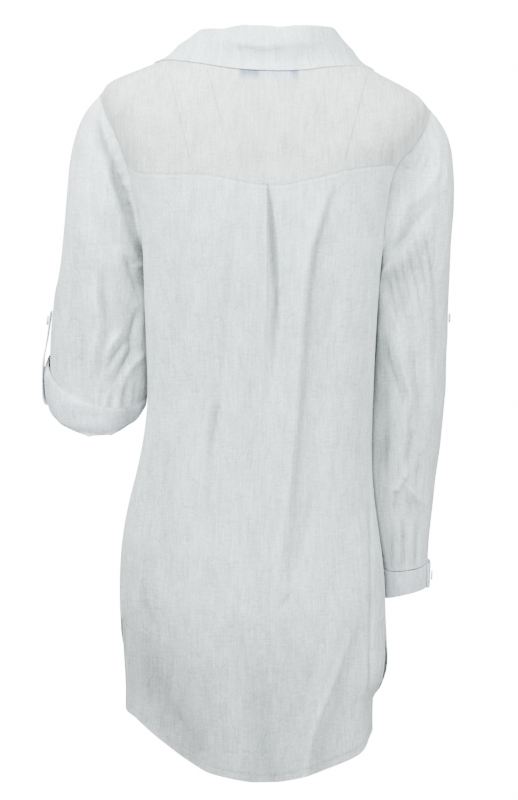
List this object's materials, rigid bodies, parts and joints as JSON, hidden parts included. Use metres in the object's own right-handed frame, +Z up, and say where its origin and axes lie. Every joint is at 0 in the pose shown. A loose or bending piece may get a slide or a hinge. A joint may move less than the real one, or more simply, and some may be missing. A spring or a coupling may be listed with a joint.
{
  "type": "linen shirt",
  "caption": "Long linen shirt in its hollow worn form, with an open collar, a box-pleated back, one sleeve rolled up under a strap, side vents and curved tails.",
  "frame": {"origin": "midway between the two points where the neck meets the shoulders, where the wearer's shoulders carry the shirt", "axes": "+Z up, front towards -Y, the wearer's left towards +X"},
  "size_m": [0.478, 0.2593, 0.8595],
  "materials": {
    "back_panel": "matt plain-weave linen",
    "back_yoke": "matt plain-weave linen",
    "band_left": "matt plain-weave linen",
    "band_right": "matt plain-weave linen",
    "collar_leaf": "matt plain-weave linen",
    "collar_stand": "matt plain-weave linen",
    "cuff_button": "satin",
    "cuff_right": "matt plain-weave linen",
    "front_button_1": "satin",
    "front_button_2": "satin",
    "front_button_3": "satin",
    "front_button_4": "satin",
    "front_button_5": "satin",
    "front_button_6": "satin",
    "front_left": "matt plain-weave linen",
    "front_right": "matt plain-weave linen",
    "neck_label": "matt plain-weave linen",
    "rolled_cuff_left": "matt plain-weave linen",
    "sleeve_left": "matt plain-weave linen",
    "sleeve_right": "matt plain-weave linen",
    "tab_button_left": "satin",
    "tab_button_right": "satin",
    "tab_left": "matt plain-weave linen",
    "top_button": "satin"
  },
  "bodies": {
    "root": {"back_panel": "back_panel", "back_yoke": "back_yoke", "band_left": "band_left", "band_right": "band_right", "collar_leaf": "collar_leaf", "collar_stand": "collar_stand", "cuff_button": "cuff_button", "cuff_right": "cuff_right", "front_button_1": "front_button_1", "front_button_2": "front_button_2", "front_button_3": "front_button_3", "front_button_4": "front_button_4", "front_button_5": "front_button_5", "front_button_6": "front_button_6", "front_left": "front_left", "front_right": "front_right", "neck_label": "neck_label", "rolled_cuff_left": "rolled_cuff_left", "sleeve_left": "sleeve_left", "sleeve_right": "sleeve_right", "tab_button_left": "tab_button_left", "tab_button_right": "tab_button_right", "tab_left": "tab_left", "top_button": "top_button"}
  },
  "joints": []
}
